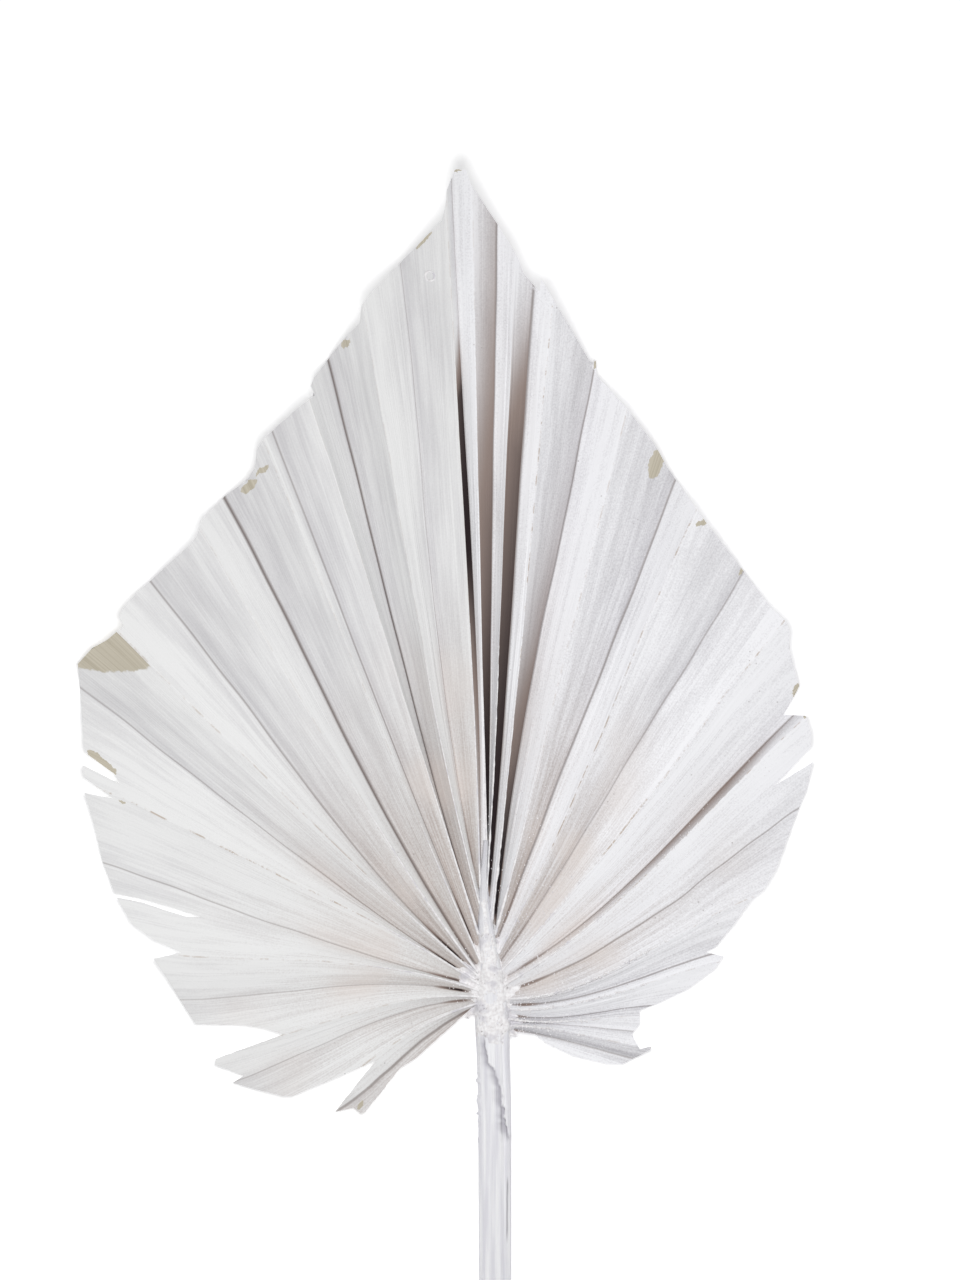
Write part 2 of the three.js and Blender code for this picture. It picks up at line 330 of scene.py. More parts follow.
outline = ragged_outline()
print("points round the margin:", len(outline))

# %% [markdown]
# The sheet is trimmed by an upright block with that outline. Blender's Manifold boolean is quick on closed
# meshes. Its result replaces the mesh, so no modifier is left on the piece, and loose scraps are dropped.

# %% Trim the blade
BLOCK_BOTTOM = -20.0
BLOCK_HEIGHT = 60


def modified_mesh(piece):
    return bpy.data.meshes.new_from_object(piece.evaluated_get(bpy.context.evaluated_depsgraph_get()))


count = len(outline)
floor_ring = np.c_[outline, np.full(count, BLOCK_BOTTOM)]
block_points = np.concatenate([floor_ring, floor_ring + [0, 0, BLOCK_HEIGHT]])
ring = list(range(count))
block_faces = [ring[::-1], [k + count for k in ring]]
block_faces += [[k, (k + 1) % count, (k + 1) % count + count, k + count] for k in ring]
block = add_piece("margin_block", block_points, block_faces)
trim = blade.modifiers.new("trim", "BOOLEAN")
trim.operation = "INTERSECT"
trim.solver = "MANIFOLD"
trim.object = block
trimmed = modified_mesh(blade)
blade.modifiers.clear()
blade.data = trimmed
trimmed.materials.clear()
trimmed.polygons.foreach_set("material_index", [0] * len(trimmed.polygons))
bpy.data.objects.remove(block)


def keep_largest(mesh):
    form = bmesh.new()
    form.from_mesh(mesh)
    waiting = set(form.verts)
    islands = []
    while waiting:
        island = [waiting.pop()]
        for vert in island:
            for edge in vert.link_edges:
                other = edge.other_vert(vert)
                if other in waiting:
                    waiting.remove(other)
                    island.append(other)
        islands.append(island)
    islands.sort(key=len)
    for island in islands[:-1]:
        bmesh.ops.delete(form, geom=island, context="VERTS")
    form.to_mesh(mesh)
    form.free()
    return len(islands) - 1


scraps = keep_largest(trimmed)
print("trimmed blade faces:", len(trimmed.polygons), "scraps dropped:", scraps)

# %% [markdown]
# The paint needs to know where it lies on the fan. Each column of the fan gets its strip, its distance from
# the ridge and from the valley, and its place across and along the veins. Stored on the mesh, these let the
# material draw veins, creases and wear that follow the leaf and look right from any side.

# %% Places on the fan
TIP_FOLD = 20
column_facet = np.minimum(np.arange(columns) // len(SHARES), FACETS - 1)
column_share = np.r_[np.tile(SHARES, FACETS), 1.0]
ridge_on_left = is_ridge[:-1][column_facet]
ridge_towards_tip = np.where(column_facet < TIP_FOLD, ~ridge_on_left, ridge_on_left)
from_ridge = np.where(ridge_on_left, column_share, 1 - column_share)
facet_width = width[column_facet]
from_valley = (1 - from_ridge)[:, None] * facet_width
margin_row = int(np.argmin(np.abs(t - 1)))
facet_start = np.r_[0, np.cumsum(width[:, margin_row])]
across = facet_start[column_facet] + column_share * width[column_facet, margin_row]
along = np.linalg.norm(np.diff(upper, axis=1), axis=2).cumsum(axis=1)
along = np.c_[np.zeros(columns), along]
nearer_fold = column_facet + (column_share > 0.5)
at_ridge = ((column_share == 0) | (column_share == 1)) & is_ridge[nearer_fold]
print("leaf unfolded at the margin, mm:", round(float(facet_start[-1]), 1))

# %% [markdown]
# The coat is uneven, and its grey is partly painted shade. Each strip has its own thinness: partly thin
# paint, partly painted shade on strips that lean away from the lamp. Painted shade adds a little more
# towards its valley and none on its ridge. Near the hub, thin strips and the strips on the left that start
# at a dark valley get more painted shade.

# %% How thin the paint is, and painted shade
VALLEY_SHADE = 0.36
THIN_FROM, THIN_FULL, THIN_MOST = 0.1, 0.25, 1.2
DARK_VALLEY_SHADE = 1.5
NEAR_HUB_SHADE = 0.35
NEAR_HUB_END = 0.5
RIDGE_SHARE = 1 / 6
# Each strip's grey from the table: thin paint and painted shade together
thin_and_shade = FOLDS[column_facet, 8]
# Painted shade: darker towards each strip's valley, none on the ridge
tone = np.maximum(0, thin_and_shade + VALLEY_SHADE * (from_ridge - 0.5))
tone[at_ridge] = 0
hub_shade_weight = np.clip((thin_and_shade - THIN_FROM) / (THIN_FULL - THIN_FROM), 0, THIN_MOST)
by_dark_valley = np.maximum(hub_shade_weight, DARK_VALLEY_SHADE * FOLDS[column_facet, 7])
hub_shade_weight = np.where(column_facet < TIP_FOLD, by_dark_valley, hub_shade_weight)
# Painted shade that darkens the strips towards the hub
hub_shade = NEAR_HUB_SHADE * np.clip(1 - t / NEAR_HUB_END, 0, 1) * hub_shade_weight[:, None]
tone = tone[:, None] + hub_shade * np.clip(from_ridge / RIDGE_SHARE, 0, 1)[:, None]
print("paint thinness, least and most:", round(float(tone.min()), 2), round(float(tone.max()), 2))

# %% [markdown]
# The deep pleats at the middle and one narrow strip at the right are painted dark as their shadow,
# each over its own stretch and most of all at the bottom of the pleat. Near the hub the other deep valleys
# get thin slits of painted shadow.

# %% Painted shadow in the pleats and slits
# Places along a strip, and for each strip that is dark its share of painted shadow at these places
DARK_PLACES = (0.1, 0.5, 0.72, 0.82, 1.0)
DARK_PLEATS = {
    20: (0.35, 1.0, 0.9, 0.12, 0.0),
    22: (1.0, 0.72, 0.48, 0.4, 0.25),
    24: (1.0, 0.85, 0.75, 0.58, 0.15),
    26: (1.0, 0.4, 0.2, 0.15, 0.1),
    33: (0.05, 0.42, 0.5, 0.4, 0.05),
}
DARK_FROM, DARK_RISE = 0.002, 0.012
DARK_ON_RIDGE = 0.1
SLIT_PLACES = (0.03, 0.06, 0.1, 0.16)
SLIT_SHARES = (0, 1, 0.8, 0)
SLIT_HALF_WIDTH = 0.4
SLIT_STRENGTH = 1.6
dark = np.zeros((columns, ROWS))
for facet, amounts in DARK_PLEATS.items():
    amount = np.interp(t, DARK_PLACES, amounts) * np.clip((t - DARK_FROM) / DARK_RISE, 0, 1)
    in_facet = column_facet == facet
    dark[in_facet] = amount * (1 - (1 - amount) * (1 - from_ridge[in_facet])[:, None])
# Thin slits of painted shadow in the valleys near the hub
slit = np.clip(SLIT_STRENGTH - from_valley / SLIT_HALF_WIDTH, 0, 1) * np.interp(t, SLIT_PLACES, SLIT_SHARES)
valley_fold = column_facet + ridge_on_left
dark = np.maximum(dark, FOLDS[valley_fold, 7][:, None] * slit)
dark[at_ridge] *= DARK_ON_RIDGE
print("share of the fan that is dark:", round(float((dark > 0.5).mean()), 3))

# %% [markdown]
# The nine values of a point are kept together: three for the lay (across, along, and 1 on the upper face),
# three for the fold (from the ridge, from the valley, crease), and three for the coat (thin paint with
# painted shade, painted shadow, and 1 where the strip's ridge is towards the tip).

# %% Values of each point of the fan
def by_column(values):
    return np.broadcast_to(np.asarray(values, float)[:, None], (columns, ROWS))


lay_values = [by_column(across), along, np.ones((columns, ROWS))]
fold_values = [from_ridge[:, None] * facet_width, from_valley, by_column(FOLDS[nearer_fold, 6])]
# The coat's first value is thin paint with painted shade, its second painted shadow
coat_and_shade_values = [tone, dark, by_column(ridge_towards_tip)]
knows = np.stack(lay_values + fold_values + coat_and_shade_values, axis=2).reshape(-1, 9)
knows_below = knows.copy()
knows_below[:, 2] = 0
knows = np.concatenate([knows, knows_below])
print("points of the fan and their values:", knows.shape)

# %% [markdown]
# Trimming made new points along the margin. Each point of the trimmed mesh looks up the nearest spot of the
# untrimmed fan and blends the values of that face's corners, which is exact for the points that were kept.

# %% Carry the values to the trimmed mesh
CREASE_ANGLE = 16
fan_in_frame = in_frame(fan_points)
fan_tree = BVHTree.FromPolygons(fan_in_frame.tolist(), fan_faces.tolist())


def carried(mesh):
    values = np.zeros((len(mesh.vertices), knows.shape[1]))
    for vert in mesh.vertices:
        spot, _, face, _ = fan_tree.find_nearest(vert.co)
        corners = fan_faces[face]
        weights = poly_3d_calc([Vector(fan_in_frame[k]) for k in corners], spot)
        values[vert.index] = np.array(weights) @ knows[corners]
    return values


def store(mesh, name, values):
    attribute = mesh.attributes.new(name, "FLOAT_VECTOR", "POINT")
    attribute.data.foreach_set("vector", np.asarray(values, np.float32).ravel())


blade_values = carried(trimmed)
store(trimmed, "lay", blade_values[:, 0:3])
store(trimmed, "fold", blade_values[:, 3:6])
store(trimmed, "coat", blade_values[:, 6:9])
trimmed.shade_smooth()
trimmed.set_sharp_from_angle(angle=math.radians(CREASE_ANGLE))
print("blade points with values:", len(blade_values))

# %% [markdown]
# The stalk, the hub and the midrib are one tapering body. A bevelled curve would give a round rod, but the
# real stalk is flat below, has a groove at the right of its top and swells into the hub, so it is lofted:
# the part's sections, rounded into a smooth loop, are stepped along the part's rows. Paint has filled more
# than half of the groove. A row holds a section's place along the stalk, its middle, width and height, the
# level of its lower face, all in mm, and the depth of its groove as a share of the height.

# %% Stalk sections
STALK = np.array([
    [-268, 1.5, 7.2, 4.8, 0, 0.12],
    [-236, 1.5, 7.2, 4.8, 0, 0.12],
    [-190, 1.6, 6.9, 4.8, 0.9, 0.1],
    [-130, 1.7, 6.8, 4.8, 1.7, 0.12],
    [-70, 1.6, 7.0, 4.8, 1.9, 0.1],
    [-30, 1.5, 7.2, 5.0, 1.7, 0.16],
    [-22, 1.4, 7.2, 5.0, 1.6, 0.12],
    [-14, 1.1, 7.3, 5.0, 1.4, 0.1],
    [-9, 1.0, 7.7, 4.9, 1.3, 0.06],
    [-3, 0.7, 6.8, 4.7, 1.3, 0.04],
    [3, 0.6, 5.0, 4.5, 1.4, 0.04],
    [8, 0.0, 4.2, 4.2, 1.6, 0.04],
    [13, -0.5, 3.6, 4.0, 1.8, 0.04],
    [18, -0.9, 2.4, 3.8, 2.0, 0.04],
    [24, -1.0, 1.6, 3.6, 2.2, 0.04],
    [32, -0.5, 1.1, 3.4, 2.4, 0.04],
])
SECTION = np.array([
    [-0.36, 0], [0.36, 0], [0.8, 0.2], [1, 0.5], [0.9, 0.78], [0.76, 0.88], [0.56, 0.93], [0.36, 0.97],
    [-0.3, 1], [-0.8, 0.84], [-1, 0.5], [-0.8, 0.18],
])
GROOVE_POINT = 6
GROOVE_SHARE = 0.4
AROUND = 96
FINE_STEP = 0.35
COARSE_STEP = 1.6
FINE_FROM = -70
ROW_SPREAD = 4


def rounded(loop, amount):
    position = np.linspace(0, len(loop), amount, endpoint=False)
    k = position.astype(int)
    f = (position - k)[:, None]
    p0, p1, p2, p3 = (loop[(k + step) % len(loop)] for step in (-1, 0, 1, 2))
    return 0.5 * (2 * p1 + (p2 - p0) * f + (2 * p0 - 5 * p1 + 4 * p2 - p3) * f**2
                  + (3 * p1 - p0 - 3 * p2 + p3) * f**3)


def softened(values, spread):
    reach = 3 * spread
    weights = np.exp(-0.5 * (np.arange(-reach, reach + 1) / spread) ** 2)
    padded = np.pad(values, reach, mode="edge")
    return np.convolve(padded, weights / weights.sum(), mode="valid")


coarse_rows = np.arange(STALK[0, 0], FINE_FROM, COARSE_STEP)
stalk_y = np.r_[coarse_rows, np.arange(FINE_FROM, STALK[-1, 0], FINE_STEP)]
middle, wide, tall, below, groove = (
    softened(np.interp(stalk_y, STALK[:, 0], column), ROW_SPREAD) for column in STALK.T[1:])
stalk_points = np.zeros((len(stalk_y), AROUND, 3))
for row, y in enumerate(stalk_y):
    loop = SECTION.copy()
    loop[GROOVE_POINT, 1] -= GROOVE_SHARE * groove[row]
    loop = rounded(loop, AROUND)
    stalk_points[row, :, 0] = middle[row] + loop[:, 0] * wide[row] / 2
    stalk_points[row, :, 1] = y
    stalk_points[row, :, 2] = below[row] + np.maximum(loop[:, 1], 0) * tall[row]
print("stalk rows:", len(stalk_y), "points round it:", AROUND)

# %% [markdown]
# Dried stalk is stringy, so each lengthwise line of it gets a random height. Below the hub a strip of skin
# has torn off. It left a hollow that is deepest along a ragged raised edge of skin, which slants to the
# right side. Lower down the right side has a narrow split, and small bumps sit on the left. The edge's path
# is read from the photograph, as places in mm from the hub.

# %% Fibres and the torn strip
FIBRE_HEIGHT = 0.07
TEAR = np.array([
    [-0.9, -12], [-0.3, -15], [0.1, -16.8], [1.5, -19.2], [2.6, -22.2],
    [3.2, -25.3], [3.5, -28.9], [4.2, -32.1], [4.8, -34],
])
TEAR_DEPTH = 0.5
TEAR_WIDTH = 1.5
FLAP_HEIGHT = 0.28
FLAP_WIDTH = 0.7
SPLIT_X = 4.3
SPLIT_WIDTH = 0.16
SPLIT_DEPTH = 0.3
BUMP_HEIGHT = 0.8
# Places along the stalk in mm, and how strong each mark is there
TEAR_SPAN = ([-35, -33, -13, -11], [0, 1, 1, 0.2])
SPLIT_SPAN = ([-57, -54, -44, -42], [0, 1, 1, 0])
BUMP_SPAN = ([-36, -33, -20, -18], [0, 1, 1, 0])


def fibres(rows, seed):
    rng = np.random.default_rng(seed)
    lines = rng.normal(0, 1, AROUND)
    lines = 0.55 * lines + 0.45 * np.roll(lines, 1)
    phase = rng.uniform(0, 2 * np.pi, AROUND)
    return lines[None, :] * (0.7 + 0.3 * np.sin(rows[:, None] / 9.0 + phase[None, :]))


def rough(values, seed):
    return np.array([noise.noise(Vector((value, seed, 0.5))) for value in values])


# Torn strip, with its raised edge
tear_x = np.interp(stalk_y, TEAR[::-1, 1], TEAR[::-1, 0]) + 0.4 * rough(stalk_y * 1.2, 3)
tear_wide = TEAR_WIDTH * (1 + 0.5 * rough(stalk_y * 0.55, 7))[:, None]
from_edge = stalk_points[:, :, 0] - tear_x[:, None]
level = (stalk_points[:, :, 2] - below[:, None]) / tall[:, None]
on_top = np.clip(level * 4 - 1.6, 0, 1) * np.interp(stalk_y, *TEAR_SPAN)[:, None]
torn_side = np.exp(-((from_edge / tear_wide) ** 2))
skin_side = np.clip(1 - from_edge / 0.15, 0, 1)
channel = np.where(from_edge < 0, torn_side, skin_side) * on_top
flap = np.where(from_edge > 0, np.exp(-((from_edge / FLAP_WIDTH) ** 2)), 0) * on_top
flap *= FLAP_HEIGHT * (1 + 0.9 * rough(stalk_y * 1.7, 9))[:, None]
# Split at the right and bumps at the left
split_x = SPLIT_X + 0.1 * rough(stalk_y * 0.4, 5)
split = np.exp(-(((stalk_points[:, :, 0] - split_x[:, None]) / SPLIT_WIDTH) ** 2))
split *= np.interp(stalk_y, *SPLIT_SPAN)[:, None] * (stalk_points[:, :, 2] > (below + tall / 2)[:, None])
at_left = np.clip((middle - 0.4 * wide)[:, None] - stalk_points[:, :, 0], 0, 0.3) / 0.3
bumps = BUMP_HEIGHT * np.maximum(0, rough(stalk_y * 1.5, 12)) * np.interp(stalk_y, *BUMP_SPAN)
relief = FIBRE_HEIGHT * fibres(stalk_y, 17) - TEAR_DEPTH * channel + flap
relief = relief - SPLIT_DEPTH * split + bumps[:, None] * at_left
step_round = np.roll(stalk_points, -1, 1) - np.roll(stalk_points, 1, 1)
stalk_normal = np.cross(step_round, np.gradient(stalk_points, axis=0))
stalk_normal /= np.linalg.norm(stalk_normal, axis=2, keepdims=True)
outer = stalk_points - np.stack([middle, stalk_y, below + tall / 2], axis=1)[:, None, :]
stalk_normal *= np.sign((stalk_normal * outer).sum(2).mean())
not_below = np.clip((stalk_points[:, :, 2] - below[:, None]) / 0.6, 0, 1)
slim = np.minimum(1, wide / 5)[:, None]
stalk_points = stalk_points + stalk_normal * (relief * not_below * slim)[..., None]
print("deepest and highest relief, mm:", round(float(relief.min()), 2), round(float(relief.max()), 2))

# %% [markdown]
# The stalk is closed at both ends. Its cut end is a real cut: the skin is a rim, and the pith inside has
# dried back a little, so that end gets smaller rings, each set a little deeper. `tubes` closes any row of
# loops, and `add_smooth` turns faces outward, so both serve the next pieces too.

# %% Stalk mesh
CUT_RINGS = ((0.86, 0.05), (0.6, 0.5), (0.3, 0.75))


def tubes(loops, first=0):
    grid = first + np.arange(loops.shape[0] * loops.shape[1]).reshape(loops.shape[:2])
    beside = np.roll(grid, -1, axis=1)
    faces = quads(grid[:-1], grid[1:], beside[1:], beside[:-1]).tolist()
    return faces + [grid[0].tolist(), grid[-1][::-1].tolist()]


def add_smooth(name, points, faces):
    piece = add_piece(name, points, faces)
    form = bmesh.new()
    form.from_mesh(piece.data)
    bmesh.ops.recalc_face_normals(form, faces=form.faces)
    form.to_mesh(piece.data)
    form.free()
    for polygon in piece.data.polygons:
        polygon.use_smooth = len(polygon.vertices) < 5
    return piece


cut_centre = stalk_points[0].mean(axis=0)
cut_loops = [cut_centre + (stalk_points[0] - cut_centre) * size + [0, depth, 0] for size, depth in CUT_RINGS]
loops = np.concatenate([np.array(cut_loops[::-1]), stalk_points])
stalk = add_smooth("leaf_stalk", loops.reshape(-1, 3), tubes(loops))
ring_length = np.r_[0, np.linalg.norm(np.diff(stalk_points[0], axis=0), axis=1)].cumsum()
stalk_lay = np.zeros(loops.shape)
stalk_lay[:, :, 0] = ring_length
stalk_lay[:, :, 1] = loops[:, :, 1]
store(stalk.data, "lay", stalk_lay.reshape(-1, 3))
hollow = np.zeros(loops.shape)
# Stored for the paint: painted shadow along the torn channel, the cut end, and painted shade in the split
hollow[len(CUT_RINGS):, :, 0] = channel**1.6
hollow[:len(CUT_RINGS), :, 1] = 1
hollow[len(CUT_RINGS):, :, 2] = split
store(stalk.data, "hollow", hollow.reshape(-1, 3))
print("stalk faces:", len(stalk.data.polygons))

# %% [markdown]
# Near the hub every ridge is a cord: a stiff vein under thick paint. A cord is a short tapering tube laid
# along its ridge and sunk half way into it. On the right, where the paint dried rough, the cords are lumpy.
# All of them are one mesh, because they are all the same thing.

# %% Cords on the ridges
CORD_SIDES = 9
CORD_STEPS = 60
CORD_RADIUS = 0.3
CORD_END = 0.07
CORD_SINK = 0.06
SMOOTH_LUMPS, ROUGH_LUMPS = 0.12, 0.75


def tube(path, radii):
    ahead = np.gradient(path, axis=0)
    ahead /= np.linalg.norm(ahead, axis=1, keepdims=True)
    sideways = np.cross(ahead, [0, 0, 1])
    sideways /= np.linalg.norm(sideways, axis=1, keepdims=True)
    upward = np.cross(sideways, ahead)
    turn = np.linspace(0, 2 * np.pi, CORD_SIDES, endpoint=False)
    ring = np.cos(turn)[None, :, None] * sideways[:, None] + np.sin(turn)[None, :, None] * upward[:, None]
    return path[:, None] + ring * radii[:, None, None]


cord_loops, cord_faces = [], []
rng = np.random.default_rng(41)
for k in np.flatnonzero(is_ridge)[1:-1]:
    on_right = FOLDS[k, 0] > 0
    reach_t = rng.uniform(0.2, 0.45)
    steps = np.linspace(0.0, reach_t, CORD_STEPS)
    path = np.stack([np.interp(steps, t, rib[k, :, axis]) for axis in range(3)], axis=1)
    taper = 1 - (steps / reach_t) ** 0.8
    radii = CORD_END + (CORD_RADIUS * rng.uniform(0.7, 1.15) - CORD_END) * taper
    lumps = rough(steps * 60, 20 + k) + 0.8 * rough(steps * 190, 70 + k)
    radii *= 1 + (ROUGH_LUMPS if on_right else SMOOTH_LUMPS) * lumps
    path[:, 2] -= CORD_SINK + 0.35 * (1 - taper) * radii
    cord_faces += tubes(tube(path, radii), len(cord_loops) * CORD_STEPS * CORD_SIDES)
    cord_loops.append(tube(path, radii))
cord_points = np.concatenate(cord_loops).reshape(-1, 3)
cords = add_smooth("ridge_cords", cord_points, cord_faces)
print("cords:", len(cord_loops), "faces:", len(cord_faces))

# %% [markdown]
# Where the pleats meet, thick paint ran together and dried like froth. Separate pieces would show their
# seams there, so the knot is cast from copies of what lies under it: the roots of the strips, the top of
# the stalk and a lower, wider skirt round it go into one mesh, and a voxel Remesh modifier fuses them into
# one skin with no seams.

# %% Cast of the hub
KNOT_VOXEL = 0.24
ROOT_LENGTH = 8.0
ROOT_STEPS = 18
ROOT_STOCK = 1.1
CAST_FROM = -16
SKIRT_FROM = -4
SKIRT_WIDTH = 1.3
SKIRT_TOP = 4.6
lengths = np.linspace(0, ROOT_LENGTH, ROOT_STEPS)
root_top = np.array([
    np.stack([np.interp(lengths, along[c], upper[c, :, axis]) for axis in range(3)], axis=1)
    for c in range(columns)
])
root_points, root_faces = closed_sheet(root_top, root_top - [0, 0, ROOT_STOCK])
stalk_top = stalk_points[stalk_y > CAST_FROM]
skirt = stalk_points[stalk_y > SKIRT_FROM].copy()
skirt[:, :, 0] += (SKIRT_WIDTH - 1) * (skirt[:, :, 0] - middle[stalk_y > SKIRT_FROM][:, None])
skirt[:, :, 2] = np.minimum(skirt[:, :, 2], SKIRT_TOP)
cast_points = np.concatenate([root_points, stalk_top.reshape(-1, 3), skirt.reshape(-1, 3)])
cast_faces = [list(face) for face in root_faces] + tubes(stalk_top, len(root_points))
cast_faces += tubes(skirt, len(root_points) + stalk_top.shape[0] * AROUND)
cast = add_piece("cast", cast_points, cast_faces)
fuse = cast.modifiers.new("fuse", "REMESH")
fuse.mode = "VOXEL"
fuse.voxel_size = KNOT_VOXEL * MM
knot_mesh = modified_mesh(cast)
bpy.data.objects.remove(cast)
print("cast of the hub, faces:", len(knot_mesh.polygons))

# %% [markdown]
# The cast is smoothed, which rounds its inner corners as paint would, then pushed out by the thickness of
# the paint. Its froth comes in patches and is drawn out along the stalk, with lumps, dents and pits. Away
# from the hub the paint thins out and the skin sinks into the blade, so that it ends in a soft irregular
# line. What has sunk is deleted.

# %% Knot of thick paint
SMOOTHINGS = 10
# Start and end of a line over the hub in mm, and how far beside it the paint is full and where it ends
COLUMN = [
    ((1.0, -9), (0.6, 0), 3.0, 6.0),
    ((0.6, 0), (-0.3, 10), 1.4, 3.2),
    ((-0.3, 10), (-0.9, 18), 0.4, 1.4),
]
WEB = [
    ((-1.5, 0.5), (-4.4, 1.8), 1.6, 3.4),
    ((2.5, -3), (4.6, -1.5), 1.2, 3.4),
    ((2.5, -7), (4.8, -8), 1.2, 3.2),
]
PAINT_LAYER = 0.1
FROTH_HEIGHT = 0.45
WEB_FROTH = 0.3
PIT_DEPTH = 0.9
PIT_FROM = 0.4
SINK = 0.5
# Places in photograph pixels of large lumps and of dents, with their radius and height in mm
KNOT_MARKS = [
    (494, 978, 1.3, 0.7),
    (491, 998, 0.8, -0.7),
    (483, 1041, 0.7, -0.9),
    (506, 1026, 1.0, 0.4),
    (484, 1012, 0.9, 0.3),
]
DRAWN_OUT = (1, 0.55, 1)


def beside_line(points, start, end):
    start, run = np.array(start), np.subtract(end, start)
    share = np.clip((points[:, :2] - start) @ run / (run @ run), 0, 1)
    return np.linalg.norm(points[:, :2] - start - share[:, None] * run, axis=1)


def read(items, name):
    values = np.zeros(3 * len(items), np.float32)
    items.foreach_get(name, values)
    return values.reshape(-1, 3).astype(float)


def noises(points, pitch, shift=0.0):
    return np.array([noise.noise(Vector(point) * pitch + Vector((shift, shift, shift))) for point in points])


def outside(lines):
    return np.min([(beside_line(skin, a, b) - full) / (end - full) for a, b, full, end in lines], axis=0)


skin = read(knot_mesh.vertices, "co") / MM - HUB
pairs = np.array([edge.vertices[:] for edge in knot_mesh.edges])
ends = np.concatenate([pairs, pairs[:, ::-1]])
neighbours = np.bincount(ends[:, 0], minlength=len(skin))[:, None]
for _ in range(SMOOTHINGS):
    sums = [np.bincount(ends[:, 0], skin[ends[:, 1], axis], len(skin)) for axis in range(3)]
    skin = skin / 2 + np.stack(sums, axis=1) / neighbours / 2
knot_mesh.vertices.foreach_set("co", in_frame(skin).ravel())
knot_mesh.update()
out = read(knot_mesh.vertices, "normal")
ragged = 0.45 * noises(skin, 0.6)
ends_at = np.clip(outside(COLUMN + WEB) + ragged, 0, 1)
cover = 1 - ends_at * ends_at * (3 - 2 * ends_at)
frothy = WEB_FROTH + (1 - WEB_FROTH) * np.clip(1 - outside(COLUMN) - ragged, 0, 1)
drawn = skin * DRAWN_OUT
froth = np.abs(noises(drawn, 1.2)) + 0.7 * np.abs(noises(drawn, 2.3, 4.0)) - 0.35
froth *= np.clip(0.6 + 1.5 * noises(skin, 0.5, 6.0), 0.25, 1.2)
pits = np.maximum(0, noises(skin, 2.1, 9.0) - PIT_FROM) * frothy
pits *= np.clip(noises(skin, 0.35, 2.0) * 2 + 0.7, 0, 1)
push = cover * (PAINT_LAYER + FROTH_HEIGHT * froth * frothy - PIT_DEPTH * pits) - (1 - cover) * SINK
for x, y, radius, height in KNOT_MARKS:
    mark = pixel_place(x, y) - HUB
    near = np.exp(-(((skin - mark)[:, :2] / radius) ** 2).sum(1)) * (out[:, 2] > 0)
    push += height * near
    # Dents also get painted shade, through the pit value
    pits += np.maximum(0, -0.25 * height * near)
skin = skin + out * push[:, None]
knot_mesh.vertices.foreach_set("co", in_frame(skin).ravel())
store(knot_mesh, "hollow", np.stack([np.clip(pits * 5, 0, 1) * cover, 0 * pits, 0 * pits], axis=1))
form = bmesh.new()
form.from_mesh(knot_mesh)
form.verts.ensure_lookup_table()
sunk = [form.verts[k] for k in np.flatnonzero(cover < 0.01)]
bmesh.ops.delete(form, geom=sunk, context="VERTS")
form.to_mesh(knot_mesh)
form.free()
knot_mesh.shade_smooth()
knot = add_object("paint_knot", knot_mesh)
print("knot faces kept:", len(knot_mesh.polygons))

# %% [markdown]
# Drops of paint dried as tiny beads, thickest round the hub and along the rough ridges on the right. Each
# is a flattened ball, copied with numpy and laid on a point of the fan along its normal, unless the leaf
# was cut away there. One larger drop high on the left burst and left a ring.

# %% Beads and a ring of paint
RING_PIXEL = (430, 277)
RING_RADIUS = 1.2
RING_THICK = 0.26
RING_SQUASH = 0.85
RING_STEPS = (36, 10)
FLATTEN = 0.5
BEAD_REACH = 0.25
# First and last strip, share of their length from and to, how many, and radius from and to in mm
BEAD_GROUPS = [
    (0, 43, 0.02, 0.1, 150, 0.09, 0.2),
    (27, 43, 0.03, 0.26, 480, 0.08, 0.22),
    (28, 43, 0.1, 0.9, 500, 0.08, 0.17),
]
# Ridge and how many beads lie along it
RIDGE_BEADS = ((6, 24), (8, 24), (32, 50), (34, 120), (36, 130), (38, 90), (40, 70), (42, 50))
ball = bmesh.new()
bmesh.ops.create_icosphere(ball, subdivisions=1, radius=1.0)
ball_points = np.array([vert.co[:] for vert in ball.verts])
ball_faces = np.array([[vert.index for vert in face.verts] for face in ball.faces])
ball.free()
bead_points, bead_faces = [], []
leaf_faces = [face.vertices[:] for face in trimmed.polygons]
leaf_tree = BVHTree.FromPolygons(read(trimmed.vertices, "co").tolist(), leaf_faces)


def axes_on(normal):
    sideways = np.cross(normal, [0.3, 0.9, 0.1])
    sideways /= np.linalg.norm(sideways)
    return np.array([sideways, np.cross(normal, sideways), FLATTEN * np.asarray(normal)])


def lay_bead(place, normal, radius):
    if leaf_tree.find_nearest(Vector(in_frame(place)))[3] > BEAD_REACH * MM:
        return
    bead_faces.extend((ball_faces + len(bead_points) * len(ball_points)).tolist())
    bead_points.append(place + radius * ball_points @ axes_on(normal))


rng = np.random.default_rng(77)
for first, last, near, far, amount, small, large in BEAD_GROUPS:
    for _ in range(amount):
        facet = rng.integers(first, last + 1)
        column = facet * len(SHARES) + rng.integers(1, len(SHARES))
        row = np.searchsorted(t, near + (far - near) * rng.random() ** 1.6)
        lay_bead(upper[column, row], facet_normal[facet, row], rng.uniform(small, large))
for k, amount in RIDGE_BEADS:
    for _ in range(amount):
        along_t = 0.06 + 0.6 * rng.random() ** 1.5
        place = np.array([np.interp(along_t, t, rib[k, :, axis]) for axis in range(3)])
        place += rng.normal(0, 0.14, 3) * [1, 1, 0.3]
        lay_bead(place, [0, 0, 1], rng.uniform(0.08, 0.34 if k > 35 else 0.24))
ring_x, ring_y, _ = pixel_place(*RING_PIXEL)
spot, spot_normal, _, _ = fan_tree.ray_cast(Vector((ring_x * MM, ring_y * MM, 1)), Vector((0, 0, -1)))
